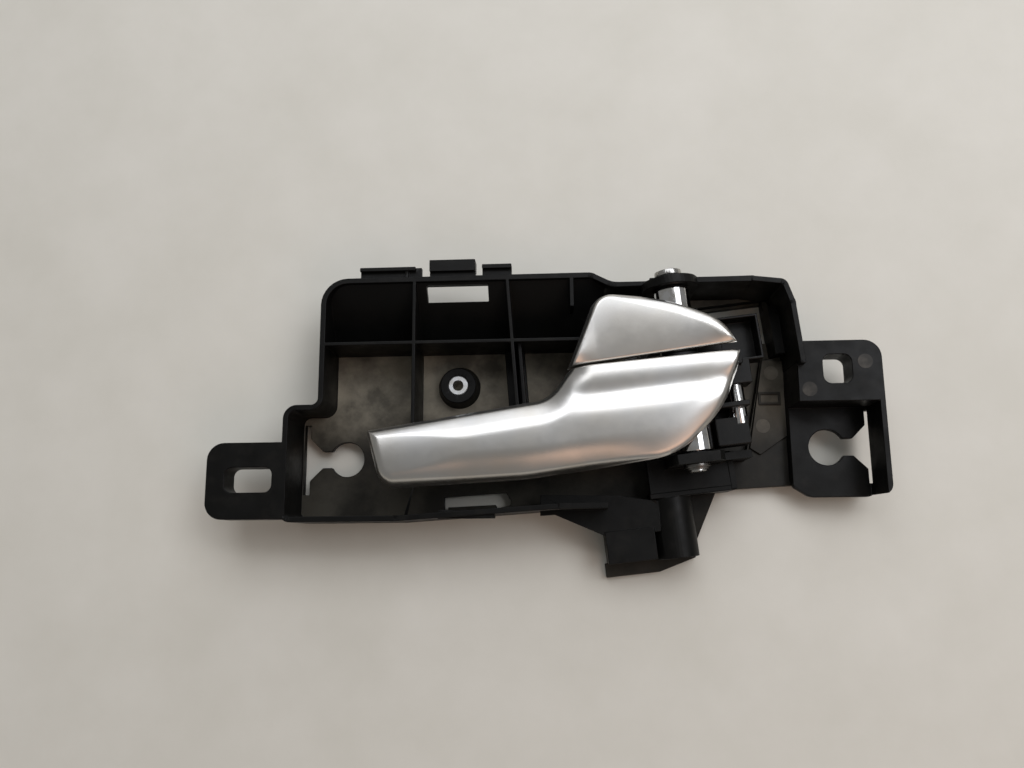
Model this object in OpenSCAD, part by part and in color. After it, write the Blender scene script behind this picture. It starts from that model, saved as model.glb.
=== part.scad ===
// Car interior door handle, lying on its back: a moulded carrier with a pull lever and a lock lever
// that turn on one pin. The origin is the centre of the insert boss's top face. +X runs towards the
// pivot, +Y towards the clip tabs and +Z towards the passenger. All lengths are in millimetres.

/* [Boss and insert] */
// Height of the insert boss above the pan floor
boss_h = 4.8; // [4:0.2:8]
// Radius of the boss at its top
boss_top_r = 5.4; // [4.6:0.1:6.5]
// Radius of the boss at its foot
boss_foot_r = 6.4; // [5.5:0.1:8]
// Outer radius of the threaded insert
insert_r = 3.1; // [2.8:0.1:3.6]
// Radius of the insert's threaded hole
thread_r = 1.65; // [1.4:0.05:2]
// Length of the insert
insert_len = 6; // [4:0.5:6.5]

/* [Pan] */
// Thickness of the pan floor
floor_t = 2.2; // [1.8:0.1:3]
// Depth of the pan, from rim to floor
pan_d = 16.3; // [15.5:0.1:17]
// Depth of the skirt below the floor
skirt_d = 2; // [1.6:0.2:3]
// Thickness of the outer walls
wall_t = 1.6; // [1.2:0.1:2.2]
// Distance from the boss to the left wall
pan_left = 40; // [38:0.5:44]
// Distance from the boss to the top rim
pan_top = 31.2; // [30:0.2:33]
// Distance from the boss to the bottom rim
pan_bottom = 41; // [40:0.2:42]
// Distance from the boss to the top rim beside the pivot
neck_top = 28.1; // [27.8:0.1:28.6]
// Radius of the pan's top left corner
pan_corner_r = 8; // [4:0.5:12]
// Extra rim height of the right pan
right_rim_rise = 3; // [1:0.5:4]

/* [Ribs] */
// Thickness of the ribs
rib_t = 1; // [0.8:0.1:1.6]
// Distance from the boss to the long rib
long_rib_y = 11.1; // [10:0.1:12]
// Distance from the boss to the left cross rib
left_rib_x = 11.9; // [10:0.5:16]
// Distance from the boss to the right cross rib
right_rib_x = 17.2; // [15:0.5:20]
// Turn of the right cross rib
right_rib_turn = 4; // [0:1:8]
// Width of the pedestal under the right cross rib
pedestal_w = 6; // [4:0.5:8]

/* [Left lug] */
// Length of the left lug beyond the pan
left_lug_len = 22; // [18:0.5:26]
// Width of the left lug
left_lug_w = 22.2; // [18:0.2:24]
// Corner radius of the lugs
lug_r = 5; // [2:0.5:8]
// Thickness of the lug plates
lug_t = 2.2; // [1.6:0.1:3]
// Depth of the collars round the lug slots
collar_d = 8; // [5:0.5:10]
// Corner radius of the lugs' holes
hole_r = 2.3; // [1.4:0.1:2.8]

/* [Right lug] */
// Distance from the boss to the right lug's left wall
right_lug_x0 = 98.8; // [98:0.1:100]
// Width of the right lug
right_lug_w = 24; // [23:0.2:27]
// Height of the right keyhole floor above the pan floor
tray_rise = 3.8; // [2:0.2:5]
// Depth of the right tray below the lug's top
tray_d = 12.5; // [11:0.1:13.5]

/* [Keyholes] */
// Radius of the keyholes
keyhole_r = 5.3; // [4.5:0.1:5.6]
// Width of the keyhole necks
neck_w = 5; // [4:0.1:6]
// Length of the keyhole slits
slit_len = 21.4; // [18:0.2:22]
// Width of the keyhole slits
slit_w = 1.9; // [1.2:0.1:2.4]
// Distance from keyhole centre to the far side of its slit
keyhole_reach = 13.4; // [12.4:0.1:13.6]

/* [Pivot] */
// Distance from the boss to the pivot frame's origin along X
pivot_x = 66.6; // [66:0.2:67.2]
// Distance from the boss to the pivot frame's origin along Y
pivot_y = -2.5; // [-2.8:0.1:-2.2]
// Height of the pin above the boss's top
pivot_z = 12; // [11.5:0.1:13]
// Turn of the pivot frame
pivot_turn = 6; // [5:0.5:7]
// Radius of the pivot pin
pin_r = 2.5; // [2:0.1:2.8]
// Running clearance round the pin
pin_gap = 0.05; // [0.02:0.01:0.08]
// Radius of the ears
ear_r = 8; // [7:0.1:8.6]
// Outer radius of the chrome barrels
barrel_r = 5.2; // [4.8:0.1:5.6]
// Radius of the crank hubs inside the barrels
hub_r = 3.9; // [3.5:0.1:4.2]

/* [Levers] */
// Height of the levers' edges above the pin
lever_edge = 0.8; // [0.6:0.1:1.4]
// Height of the levers' faces above their edges
lever_h = 7.4; // [6.5:0.1:8.5]
// Width of the steep side above the lip
lever_side = 1.6; // [1.2:0.1:3]
// Width of the thin lip round the edge
lever_lip = 0.35; // [0.2:0.05:0.6]
// Width of the domed part of the face
lever_dome = 8.5; // [6:0.5:10]
// Wall thickness of the lever shells
lever_t = 1.4; // [1.2:0.1:1.8]
// Rise of the crowned faces
lever_crown = 1.2; // [0:0.1:2]
// Depth of the scoop in the wide part of the pull lever
scoop_d = 1.0; // [0:0.1:1.4]

/* [Mechanism] */
// Radius of the pin that takes the release cable
cable_pin_r = 2.6; // [2:0.1:2.8]
// Distance of the release cable pin from the pivot
cable_arm = 14.4; // [14:0.2:15]
// Wire radius of the return spring
spring_wire_r = 0.7; // [0.5:0.05:0.8]
// Turns of the return spring
spring_turns = 6; // [4:1:7]
// Radius of the cable sockets' bores
socket_r = 3.2; // [2.6:0.1:3.6]
// Length of the cable sockets' bores
socket_len = 12; // [10:0.5:14]

/* [Hidden] */
$fn = 64;

// Small overlap that joins or clears shapes
e = 0.02;

// Levels of the carrier
floor_z = -boss_h;
base_z = floor_z - floor_t - skirt_d;
rim_z = floor_z + pan_d;
right_rim_z = rim_z + right_rim_rise;
tray_z = floor_z + tray_rise;
lug_z = tray_z + tray_d;
pit_z = base_z + 1.6;

// Plan of the carrier
step_left = 50.2;
step_y = -7;
bend_x = -16.5;
bend_rise = 3;
rib_end = -24;
left_key = [-34.8, -21.7];
right_lug_x1 = right_lug_x0 + right_lug_w;
right_key = [right_lug_x0 + 10.5, -20.4];
left_lug_y0 = -pan_bottom + 0.9;
right_lug_top = 9.1;
right_step_y = -8.5;
tray_bottom = -35;
lug_wall = wall_t + 0.6;

// Plan of the pivot frame: x runs to the right of the pin, y along it
upper_ear = [27.6, 30.2];
lower_ear = [-23.6, -20.8];
ear_flat = 5.4;
head_y = upper_ear[1] + 1.3;
right_wall_x = 34.4;
pit_x = 30.0;
window = [12.3, 24.4];
socket_floor = -31.6;
socket_mouth = -49;
tube_x = -7.2;
tube_r = 6.2;
box_x = [-27.7, -13.4];
socket_z = -1.9 - pivot_z;

pit_pts = [[-9, -19.8], [18.2, -19.8], [26.8, 6.8], [pit_x, 6.8], [pit_x, 25.5], [-9, 25.5]];

// Places of the moving pieces, in the pivot frame
pull_hub = [-20.3, -9];
pull_barrel_y = [-20.3, -9.2];
pull_knuckle = [3.2, 4.9];
lock_hub = [8, 27.1];
lock_barrel_y = [14, 27.1];
washer_y = [pull_knuckle[1] + 0.1, lock_hub[0] - 0.1];
spring_y = [-6.9, 2.3];
crank_wall = 1.5;
cheek_y = -11.5;
plate_z = [lever_edge + 0.2, lever_edge + 2];
cable_pin_z = -3.4;
tray_x = [12.5, 24.9];
tray_y = [5.2, 18.8];
tray_lock_z = [-11.6, -4.8];
tray_wall = 0.8;
bush_flange = 0.3;
head_t = 1.4;
screw_r = 1.25;
grip_screw_at = [[-27, -9.5], [-27, 0.5]];
lock_screw_at = [[-15, 13]];

// Seats and fixings in the pivot frame
bush_r = 3.8;
buffer_r = 2.6;
stem_r = 1.3;
stem_len = 3;
pillar_z = 8.6;
grip_buffer_at = [-21, -4.5];
lock_buffer_at = [-20, 17.5];
rivet_at = [-12.4, 11];
rivet_r = 1.1;

// Lever shells
edge_land = 0.9;
boss_len = 5.3;
split_round = 0.7;
side_share = 0.5;
rows = 44;
cols = 18;

black = [0.09, 0.09, 0.09];
satin = [0.72, 0.72, 0.70];
chrome = [0.86, 0.86, 0.88];
steel = [0.62, 0.63, 0.65];
rubber = [0.14, 0.14, 0.14];
nylon = [0.82, 0.80, 0.74];

// Direction from one point to another
function dir(a, b) = (b - a) / norm(b - a);

// Point of a list, counted round
function at(p, i) = p[(i + len(p)) % len(p)];

// Sense of the corner at a point: 1 where the outline is convex, -1 where it is hollow
function sense(p, i) = let (u = dir(at(p, i - 1), at(p, i)), v = dir(at(p, i), at(p, i + 1)))
    sign(u[0] * v[1] - u[1] * v[0]);

// Outline moved inwards by d, its corners listed anticlockwise
function inset(p, d) = [for (i = [0:len(p) - 1])
    let (u = dir(at(p, i - 1), at(p, i)), v = dir(at(p, i), at(p, i + 1)),
         a = [-u[1], u[0]], b = [-v[1], v[0]])
    at(p, i) + (a + b) * (d / (1 + a * b))];

// Corner radii after the outline is moved inwards by d
function inset_radii(p, r, d) = [for (i = [0:len(p) - 1]) r[i] == 0 ? 0 : max(0.2, r[i] - d * sense(p, i))];

// Signed turn from one angle to another, within half a circle
function turn(a, b) = let (d = (b - a) % 360) d > 180 ? d - 360 : d < -180 ? d + 360 : d;

// Arc that rounds the corner at a point
function corner(a, b, c, r, n) = let (
    u = dir(b, a), v = dir(b, c), half = acos(u * v) / 2,
    m = b + (u + v) / norm(u + v) * (r / sin(half)),
    s = b + u * (r / tan(half)) - m, f = b + v * (r / tan(half)) - m,
    a0 = atan2(s[1], s[0]), sweep = turn(a0, atan2(f[1], f[0])))
    [for (k = [0:n]) m + r * [cos(a0 + sweep * k / n), sin(a0 + sweep * k / n)]];

// Outline with its corners rounded
function rounded(p, r, n = 8) = [for (i = [0:len(p) - 1])
    each r[i] == 0 ? [p[i]] : corner(at(p, i - 1), p[i], at(p, i + 1), r[i], n)];

// Rounded outline moved inwards by d
function shrunk(p, r, d, n = 8) = rounded(inset(p, d), inset_radii(p, r, d), n);

// Point of the pivot frame in the part's own plan
function from_pivot(p) = [pivot_x, pivot_y]
    + [cos(pivot_turn) * p[0] - sin(pivot_turn) * p[1], sin(pivot_turn) * p[0] + cos(pivot_turn) * p[1]];

// Children placed in the pivot frame, whose y axis is the pin's
module in_pivot_frame() translate([pivot_x, pivot_y, pivot_z]) rotate([0, 0, pivot_turn]) children();

// Rod along y in the pivot frame, from y0 to y1
module rod(x, z, r, y0, y1) translate([x, y0, z]) rotate([-90, 0, 0]) cylinder(r = r, h = y1 - y0);

// Box between two corners
module box(a, b) translate(a) cube(b - a);

// Prism from an outline, between two heights
module slab(p, z0, z1) translate([0, 0, z0]) linear_extrude(z1 - z0) polygon(p);

// Prism of constant wall along the inside of an outline
module ring(p, r, t, z0, z1) translate([0, 0, z0]) linear_extrude(z1 - z0) difference() {
    polygon(rounded(p, r));
    polygon(shrunk(p, r, t));
}

// The same radius at four corners
function four(r) = [r, r, r, r];

// Rectangle outline, listed anticlockwise
function rect(x0, y0, x1, y1) = [[x0, y0], [x1, y0], [x1, y1], [x0, y1]];

// Outline of the pan and the mechanism bay
right_foot = from_pivot([right_wall_x, 2.3]);
pan_pts = [[-step_left, -pan_bottom], [bend_x, -pan_bottom], [30, -pan_bottom + bend_rise],
           [46, -pan_bottom + bend_rise], from_pivot([11.2, -31]), [right_lug_x0 + wall_t, -31.2],
           right_foot, [98.9, 20.2], [96.7, 26.9], [87, neck_top], [47, neck_top], [41, pan_top], [-pan_left, pan_top],
           [-pan_left, step_y], [-step_left, step_y]];
pan_r = [3, 20, 10, 3, 1, 0, 0, 6, 2.5, 6, 5, 5, pan_corner_r, 2, 4];

// Outline of the right keyhole tray
tray_pts = [[right_lug_x0, tray_bottom + 3], [right_lug_x0 + 4.7, tray_bottom], [right_lug_x1, tray_bottom],
            [right_lug_x1, right_step_y + 1], [right_lug_x0, right_step_y + 1]];
tray_r = [1.5, 6, 3, 0, 0];

// Keyhole with a flared neck that opens into a cross slit; way is -1 to the left and 1 to the right
module keyhole(c, way, z0, z1) {
    far = c[0] + way * keyhole_reach;
    near = far - way * slit_w;
    flare = [[near - way * 4, neck_w / 2], [near + way * e, neck_w / 2 + 4], [near + way * e, -neck_w / 2 - 4],
             [near - way * 4, -neck_w / 2]];
    translate([c[0], c[1], z0]) cylinder(r = keyhole_r, h = z1 - z0);
    box([min(c[0], near), c[1] - neck_w / 2, z0], [max(c[0], near), c[1] + neck_w / 2, z1]);
    translate([0, c[1], z0]) linear_extrude(z1 - z0) polygon(flare);
    box([min(near, far), c[1] - slit_len / 2, z0], [max(near, far), c[1] + slit_len / 2, z1]);
}

// Sloped panel between the top rim and the long rib
module slope_panel() {
    run_y0 = long_rib_y;
    run_y1 = pan_top - wall_t;
    profile = [[run_y0, floor_z - floor_t + 0.3], [run_y0, floor_z], [run_y1, rim_z - 1.2], [run_y1 + 0.7, rim_z - 1.2],
               [run_y1 + 0.7, rim_z - 3.2]];
    difference() {
        intersection() {
            translate([-pan_left + wall_t / 2, 0, 0]) rotate([90, 0, 90]) linear_extrude(pan_left + 44) polygon(profile);
            slab(shrunk(pan_pts, pan_r, wall_t / 2), base_z, rim_z);
        }
        slot_cut = [[-8.5, 24.6], [10, 29]];
        box([slot_cut[0][0], slot_cut[0][1], base_z], [slot_cut[1][0], slot_cut[1][1], rim_z + 1]);
    }
}

// Ribs that cross the pan
module pan_ribs() {
    box([-pan_left + wall_t / 2, long_rib_y - rib_t / 2, floor_z - e], [44, long_rib_y + rib_t / 2, rim_z]);
    box([-left_rib_x - rib_t / 2, rib_end, floor_z - e], [-left_rib_x + rib_t / 2, long_rib_y, rim_z]);
    intersection() {
        box([-left_rib_x - rib_t / 2, long_rib_y, floor_z - floor_t],
            [-left_rib_x + rib_t / 2, pan_top - wall_t / 2, rim_z]);
        above_slope();
    }
    translate([right_rib_x, long_rib_y, 0]) rotate([0, 0, right_rib_turn]) {
        box([-rib_t / 2, rib_end - long_rib_y, floor_z - e], [rib_t / 2, 0.5, rim_z]);
        box([-pedestal_w / 2, rib_end - long_rib_y, floor_z - e], [pedestal_w / 2, 0, floor_z + 2.4]);
        box([rib_t * 1.5, rib_end - long_rib_y, floor_z - e], [rib_t * 2.5, 0, rim_z - 2.5]);
    }
    intersection() {
        translate([right_rib_x, long_rib_y, 0]) rotate([0, 0, right_rib_turn])
            box([-rib_t / 2, 0, floor_z - floor_t], [rib_t / 2, 19.5, rim_z]);
        above_slope();
    }
    intersection() {
        box([35 - rib_t / 2, 21, floor_z - floor_t], [35 + rib_t / 2, pan_top - wall_t / 2, rim_z]);
        above_slope();
    }
}

// Space above the sloped panel
module above_slope() {
    run_y0 = long_rib_y + rib_t / 2;
    run_y1 = pan_top - wall_t;
    translate([-pan_left, 0, 0]) rotate([90, 0, 90]) linear_extrude(pan_left + 60)
        polygon([[run_y0 - 2, floor_z - 1], [run_y1, rim_z - 1.6], [pan_top, rim_z - 1.6], [pan_top, rim_z + 1],
                 [run_y0 - 2, rim_z + 1]]);
}

// Clip tabs on the top rim
module top_tabs() {
    tab_z = rim_z - 1.4;
    box([-28.4, pan_top - e, tab_z - 1.8], [-9.9, 34.4, tab_z]);
    box([-28.4, 33.2, tab_z - e], [-11.6, 34.4, rim_z]);
    box([-14.8, pan_top - e, tab_z - e], [-13.8, 34, rim_z - 0.4]);
    box([8.4, pan_top - e, tab_z - 1.8], [17.2, 34.6, tab_z]);
    box([8.4, 33.4, tab_z - e], [17.2, 34.6, rim_z]);
    box([-7.5, pan_top - wall_t, rim_z - 3.4], [6.3, 33.4, rim_z - 1.8]);
    box([-7.5, 33, rim_z - 5.2], [6.3, 36.5, rim_z - 0.6]);
}

// Left lug: a plate at rim height with a skirt and a slotted collar
module left_lug() {
    x1 = -step_left + wall_t / 2;
    x0 = -step_left - left_lug_len;
    y1 = left_lug_y0 + left_lug_w;
    pts = rect(x0, left_lug_y0, x1, y1);
    radii = [lug_r, 0, 0, lug_r];
    hole = rect(x0 + 5.5, left_lug_y0 + 7.7, x1 - 3.4, left_lug_y0 + 15);
    difference() {
        union() {
            slab(rounded(pts, radii), rim_z - lug_t, rim_z);
            ring(pts, radii, wall_t, rim_z - collar_d, rim_z);
            slab(rounded(inset(hole, -wall_t), four(hole_r + 0.7)), rim_z - collar_d, rim_z);
        }
        slab(rounded(hole, four(hole_r)), rim_z - collar_d - 1, rim_z + 1);
    }
}

// Right lug: a raised plate with a slotted collar, over the keyhole tray
module right_lug() {
    pts = [[right_lug_x0, right_step_y], [right_lug_x1, right_step_y], [right_lug_x1, right_lug_top],
           [right_lug_x0 + 0.95, right_lug_top], [right_lug_x0 + 0.95, 3], [right_lug_x0, 3]];
    radii = [0, 0, lug_r, 0, 0, 0];
    hole = rect(right_lug_x0 + 7.3, -3.4, right_lug_x0 + 15.4, 5);
    difference() {
        union() {
            slab(rounded(pts, radii), lug_z - lug_t, lug_z);
            ring(pts, radii, wall_t, lug_z - collar_d, lug_z);
            box([right_lug_x0, right_step_y, tray_z - floor_t], [right_lug_x1, right_step_y + wall_t + 0.3, lug_z]);
            box([right_lug_x0, right_step_y, floor_z - floor_t], [right_lug_x0 + lug_wall, 3, lug_z]);
            slab(rounded(inset(hole, -wall_t), four(hole_r + 0.7)), lug_z - collar_d, lug_z);
        }
        slab(rounded(hole, four(hole_r)), lug_z - collar_d - 1, lug_z + 1);
    }
}

// Keyhole tray at the right end, open towards the bottom
module right_tray() {
    slab(rounded(tray_pts, tray_r), tray_z - floor_t, tray_z);
    box([right_lug_x0, tray_bottom + 5, floor_z - floor_t], [right_lug_x0 + lug_wall, right_step_y + 1, tray_z]);
    intersection() {
        slab(rounded(tray_pts, tray_r), tray_z - floor_t, lug_z);
        box([right_lug_x1 - wall_t, tray_bottom - 1, tray_z - floor_t], [right_lug_x1 + 1, right_step_y + 1, lug_z]);
    }
}

// Ears that hold the pin, with their shoulders down to the floor
module ear(y, foot_z) {
    rod(0, 0, ear_r, y[0], y[1]);
    box([-ear_r + 0.1, y[0], foot_z - pivot_z], [ear_r - 0.1, y[1], 0]);
}

// Cable bracket under the lower ear: a shelf, a box socket and a tube socket
module bracket() {
    shelf_z = 4 - pivot_z;
    low_z = base_z - pivot_z;
    slab(rect(-13.2, -31.2, 11.2, -20.3), shelf_z - 2.2, shelf_z - e);
    slab([[-13.2, -33], [-1, -45.5], [7.3, -31.2], [-13.2, -31.2]], low_z, low_z + 3);
    box([-13.4, -31.6, low_z], [11.4, -30.2, shelf_z]);
    box([10.2, -31.3, low_z], [11.8, -20.6, shelf_z + e]);
    rod(tube_x, socket_z, tube_r, socket_mouth, socket_floor);
    box([tube_x - tube_r + 0.1, socket_mouth, low_z], [tube_x + tube_r - 0.1, socket_floor, socket_z]);
    box([box_x[0], socket_mouth + 0.4, low_z], [box_x[1], -39.4, 3 - pivot_z]);
    slab([[-28.4, -52.6], [-12.6, -52.6], [-1.4, -49.6], [-1.4, -48.5], [-28.4, -48.5]], low_z, low_z + 2.6);
}

// Bores of the two cable sockets
module socket_bores() {
    rod(tube_x, socket_z, socket_r, socket_mouth - 1, socket_mouth + socket_len);
    rod(tube_x, socket_z, 1.2, socket_mouth + socket_len - 1, socket_floor + 2);
    rod((box_x[0] + box_x[1]) / 2, socket_z, socket_r, socket_mouth - 1, socket_mouth + socket_len);
}

// Plate with its floor plan in the pivot frame, between two heights of the part
module pivot_slab(p, z0, z1) in_pivot_frame() slab(p, z0 - pivot_z, z1 - pivot_z);

// Walls and floor of the pan, with the pit under the cranks
module pan_shell() {
    difference() {
        union() {
            slab(rounded(pan_pts, pan_r), floor_z - floor_t, floor_z);
            ring(pan_pts, pan_r, wall_t, base_z, right_rim_z);
        }
        box([-60, -60, rim_z], [pivot_x - 6, 23, right_rim_z + 1]);
        box([-60, 20, rim_z], [pivot_x - 9, 40, right_rim_z + 1]);
        box([44, -60, floor_z], [right_foot[0] + 1, 2, right_rim_z + 1]);
        box([-pan_left + pan_corner_r, pan_top - wall_t - 0.6, base_z - 1], [43, pan_top + 1, rim_z - 3.6]);
        intersection() {
            slab(shrunk(pan_pts, pan_r, wall_t - 0.1), base_z - 1, floor_z + 0.3);
            box([-60, long_rib_y + 1.5, base_z - 2], [43, pan_top, rim_z]);
        }
        pivot_slab(pit_pts, pit_z, floor_z + e);
    }
    pivot_slab(inset(pit_pts, -1.2), base_z, pit_z);
    difference() {
        pivot_slab(inset(pit_pts, -1.2), base_z, floor_z);
        pivot_slab(pit_pts, base_z - 1, floor_z + 1);
    }
}

// Boss that takes the threaded insert
module insert_boss() {
    translate([0, 0, floor_z - e]) cylinder(r1 = boss_foot_r, r2 = boss_top_r, h = boss_h + e);
    translate([0, 0, base_z]) cylinder(r = boss_foot_r, h = floor_z - base_z - 0.5);
}

// Slot and clip tab in the bottom wall
module bottom_clip() {
    box([-4.4, -pan_bottom + 0.6, rim_z - 4], [11.8, -pan_bottom + 3, rim_z - 1]);
}

// Web between the bottom wall and the box socket
module bracket_web() {
    slab([[24.5, -39.7], [28.8, -39.4], [44.6, -46.2], [59.4, -44.4], [59, -35.6],
          [47, -34], [24.6, -33.6]], 1.6, 2.9);
}

// Panel on the right floor, with its raised key
module floor_panel() {
    pivot_slab([[26.9, 6.5], [19, -19.6], [21.8, -21.9], [32, -16.4], [33, 5.6]], floor_z - e, floor_z + 0.8);
}

module carrier_frame() color(black) difference() {
    union() {
        pan_shell();
        slope_panel();
        pan_ribs();
        insert_boss();
        top_tabs();
        bottom_clip();
        bracket_web();
        left_lug();
        right_lug();
        right_tray();
        floor_panel();
        in_pivot_frame() {
            ear(upper_ear, floor_z - 0.5);
            ear(lower_ear, base_z);
            box([7.4, lower_ear[0] + 0.4, floor_z - pivot_z - 0.5], [16.6, lower_ear[1] - 0.2, 8 - pivot_z]);
            box([pit_x, 7, floor_z - pivot_z - e], [right_wall_x - 0.8, 22, 1 - pivot_z]);
            bracket();
            for (b = [grip_buffer_at, lock_buffer_at])
                translate([b[0], b[1], floor_z - pivot_z - e]) cylinder(r = buffer_r + 0.6, h = pillar_z - floor_z + e);
        }
    }
    translate([0, 0, -insert_len]) cylinder(r = insert_r, h = insert_len + 1);
    keyhole(left_key, -1, base_z - 1, floor_z + 1);
    keyhole(right_key, 1, tray_z - floor_t - 1, tray_z + 1);
    slab([[-4.6, -37.5], [-3.5, -37.5], [-3.5, -36.6], [11, -36], [11.4, -37], [15.4, -36.2], [15.6, -34.8],
          [14.2, -32.4], [-4.6, -33.6]], base_z - 1, floor_z + 1);
    in_pivot_frame() {
        slab(rect(9, window[0], pit_x, window[1]), base_z - pivot_z - 1, pit_z - pivot_z + 1);
        socket_bores();
        box([-ear_r - 1, lower_ear[0] - 1, ear_flat], [ear_r + 1, lower_ear[1] + 1, ear_r + 1]);
        for (y = [upper_ear, lower_ear]) rod(0, 0, bush_r, y[0] - 1, y[1] + 1);
        for (b = [grip_buffer_at, lock_buffer_at])
            translate([b[0], b[1], pillar_z - pivot_z - stem_len]) cylinder(r = stem_r, h = stem_len + 1);
        translate([rivet_at[0], rivet_at[1], base_z - pivot_z - 1]) cylinder(r = rivet_r, h = 20);
    }
}

module threaded_insert() color(steel) difference() {
    translate([0, 0, -insert_len]) cylinder(r = insert_r, h = insert_len);
    translate([0, 0, -insert_len - 1]) cylinder(r = thread_r, h = insert_len + 2);
}

// Crossings of an outline with the line at x, as the lowest and highest y
function span(p, x) = let (ys = [for (i = [0:len(p) - 1]) let (a = at(p, i), b = at(p, i + 1))
    if ((a[0] - x) * (b[0] - x) <= 0 && a[0] != b[0]) a[1] + (b[1] - a[1]) * (x - a[0]) / (b[0] - a[0])])
    [min(ys), max(ys)];

// Distance of a point from an open chain of segments
function reach(p, q) = min([for (i = [0:len(p) - 2]) let (a = p[i], b = p[i + 1],
    t = max(0, min(1, ((q - a) * (b - a)) / ((b - a) * (b - a))))) norm(q - a - t * (b - a))]);

// Smooth step from 0 to 1
function ease(t) = let (u = max(0, min(1, t))) u * u * (3 - 2 * u);

// Quarter round from 0 to 1
function quarter(t) = let (u = max(0, min(1, t))) sqrt(1 - (1 - u) * (1 - u));

// Flat arch from 0 to 1
function arch(t) = let (u = 1 - max(0, min(1, t))) 1 - u * u;

// Spacing from 0 to 1 that is closer at both ends
function spread(t) = 0.35 * t + 0.65 * (1 - cos(180 * t)) / 2;

// Height of the levers' edge, which rises over the barrels
function edge_at(x) = lever_edge + (barrel_r + 0.5 - lever_edge) * ease((x + 32) / 24);

// Height of a lever's face at a point, d from its rolled edge and s from its split edge
function face_at(x, d, s, across, scoop) = let (edge = edge_at(x) + edge_land, rise = lever_edge + lever_h - edge)
    edge + rise * (side_share * quarter((d - lever_lip) / lever_side) + (1 - side_share) * arch(d / lever_dome))
    + lever_crown * (1 - across * across) - scoop
    - split_round * (1 - quarter(s / split_round));

// Scoop along the wide part of the pull lever
function scoop_at(q) = scoop_d * ease((q[0] + 52) / 30) * exp(-pow((q[1] + 1.5) / 3.4, 2));

// Grid of points over an outline; depth is the wall thickness, 0 for the outer face
function lever_grid(chain, split, scooped, depth) = let (
    xs = [for (p = chain) p[0]], x0 = min(xs) + 0.03, x1 = max(xs) - 0.03)
    [for (i = [0:rows - 1], j = [0:cols - 1]) let (
        x = x0 + (x1 - x0) * spread(i / (rows - 1)), s = span(chain, x),
        v = spread(j / (cols - 1)), q = [x, s[0] + (s[1] - s[0]) * v],
        rim = i == 0 || j == 0 || i == rows - 1 || j == cols - 1,
        z = face_at(x, reach(chain, q), abs(offset_from(split, q)), 2 * v - 1, scooped ? scoop_at(q) : 0) - depth)
        [q[0], q[1], depth > 0 && rim ? edge_at(x) : max(z, edge_at(x) + (depth > 0 ? 0 : edge_land / 2))]];

// Signed distance of a point from the straight line through a split edge
function offset_from(split, q) = let (u = dir(split[0], split[1]), w = q - split[0]) u[0] * w[1] - u[1] * w[0];

// Indices round the border of a grid
function border() = concat([for (j = [0:cols - 1]) j], [for (i = [1:rows - 1]) i * cols + cols - 1],
    [for (j = [cols - 2:-1:0]) (rows - 1) * cols + j], [for (i = [rows - 2:-1:1]) i * cols]);

// Hollow lever: an outer face, a land round its edge and an inner face
module lever_shell(pts, radii, scooped) {
    chain = rounded(pts, radii, 7);
    inner = shrunk(pts, radii, lever_t, 7);
    outer_grid = lever_grid(chain, [chain[len(chain) - 1], chain[0]], scooped, 0);
    inner_grid = lever_grid(inner, [inner[len(inner) - 1], inner[0]], scooped, lever_t);
    loop = border();
    n = len(loop);
    rim = [for (k = loop) [outer_grid[k][0], outer_grid[k][1], edge_at(outer_grid[k][0])]];
    base = len(outer_grid);
    top = [for (i = [0:rows - 2], j = [0:cols - 2]) each let (a = i * cols + j, b = a + 1, c = a + cols, d = c + 1)
        [[a, b, d], [a, d, c]]];
    under = [for (t = top) [t[0] + base + n, t[2] + base + n, t[1] + base + n]];
    land = [for (k = [0:n - 1]) each let (a = loop[k], b = loop[(k + 1) % n], c = base + k, d = base + (k + 1) % n)
        [[a, d, b], [a, c, d]]];
    foot = [for (k = [0:n - 1]) each let (a = base + k, b = base + (k + 1) % n, c = base + n + loop[k],
        d = base + n + loop[(k + 1) % n]) [[a, d, b], [a, c, d]]];
    polyhedron(concat(outer_grid, rim, inner_grid), concat(top, under, land, foot));
}

// Plan of the two levers, with the edges at the split between them first and last
grip_pts = [[-32.6, 7], [-39.2, -0.4], [-92.1, -3.1], [-89.6, -20.2], [-48, -22.4], [-5.5, -21.1], [8.6, -9.4],
            [14.6, 2.2], [15.4, 6.3]];
grip_r = [0, 9, 1, 6, 60, 22, 28, 18, 0];
lock_pts = [[15.2, 8.6], [12.4, 15.5], [-1.1, 22.6], [-21.9, 28.5], [-32.8, 7.5]];
lock_r = [0, 14, 40, 6.3, 0];

// Screw bosses that reach from the crank's plate up into a lever shell
module screw_bosses(places) difference() {
    for (p = places) translate([p[0], p[1], plate_z[1] + 0.02]) cylinder(r = 2.6, h = boss_len);
    for (p = places) translate([p[0], p[1], plate_z[1] - 1]) cylinder(r = screw_r + 0.02, h = boss_len);
}

module pull_grip() color(satin) in_pivot_frame() {
    lever_shell(grip_pts, grip_r, true);
    screw_bosses(grip_screw_at);
}

module lock_cover() color(satin) in_pivot_frame() {
    lever_shell(lock_pts, lock_r, false);
    screw_bosses(lock_screw_at);
}

// Tube along y in the pivot frame
module sleeve(r_out, r_in, y) difference() {
    rod(0, 0, r_out, y[0], y[1]);
    rod(0, 0, r_in, y[0] - 1, y[1] + 1);
}

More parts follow.
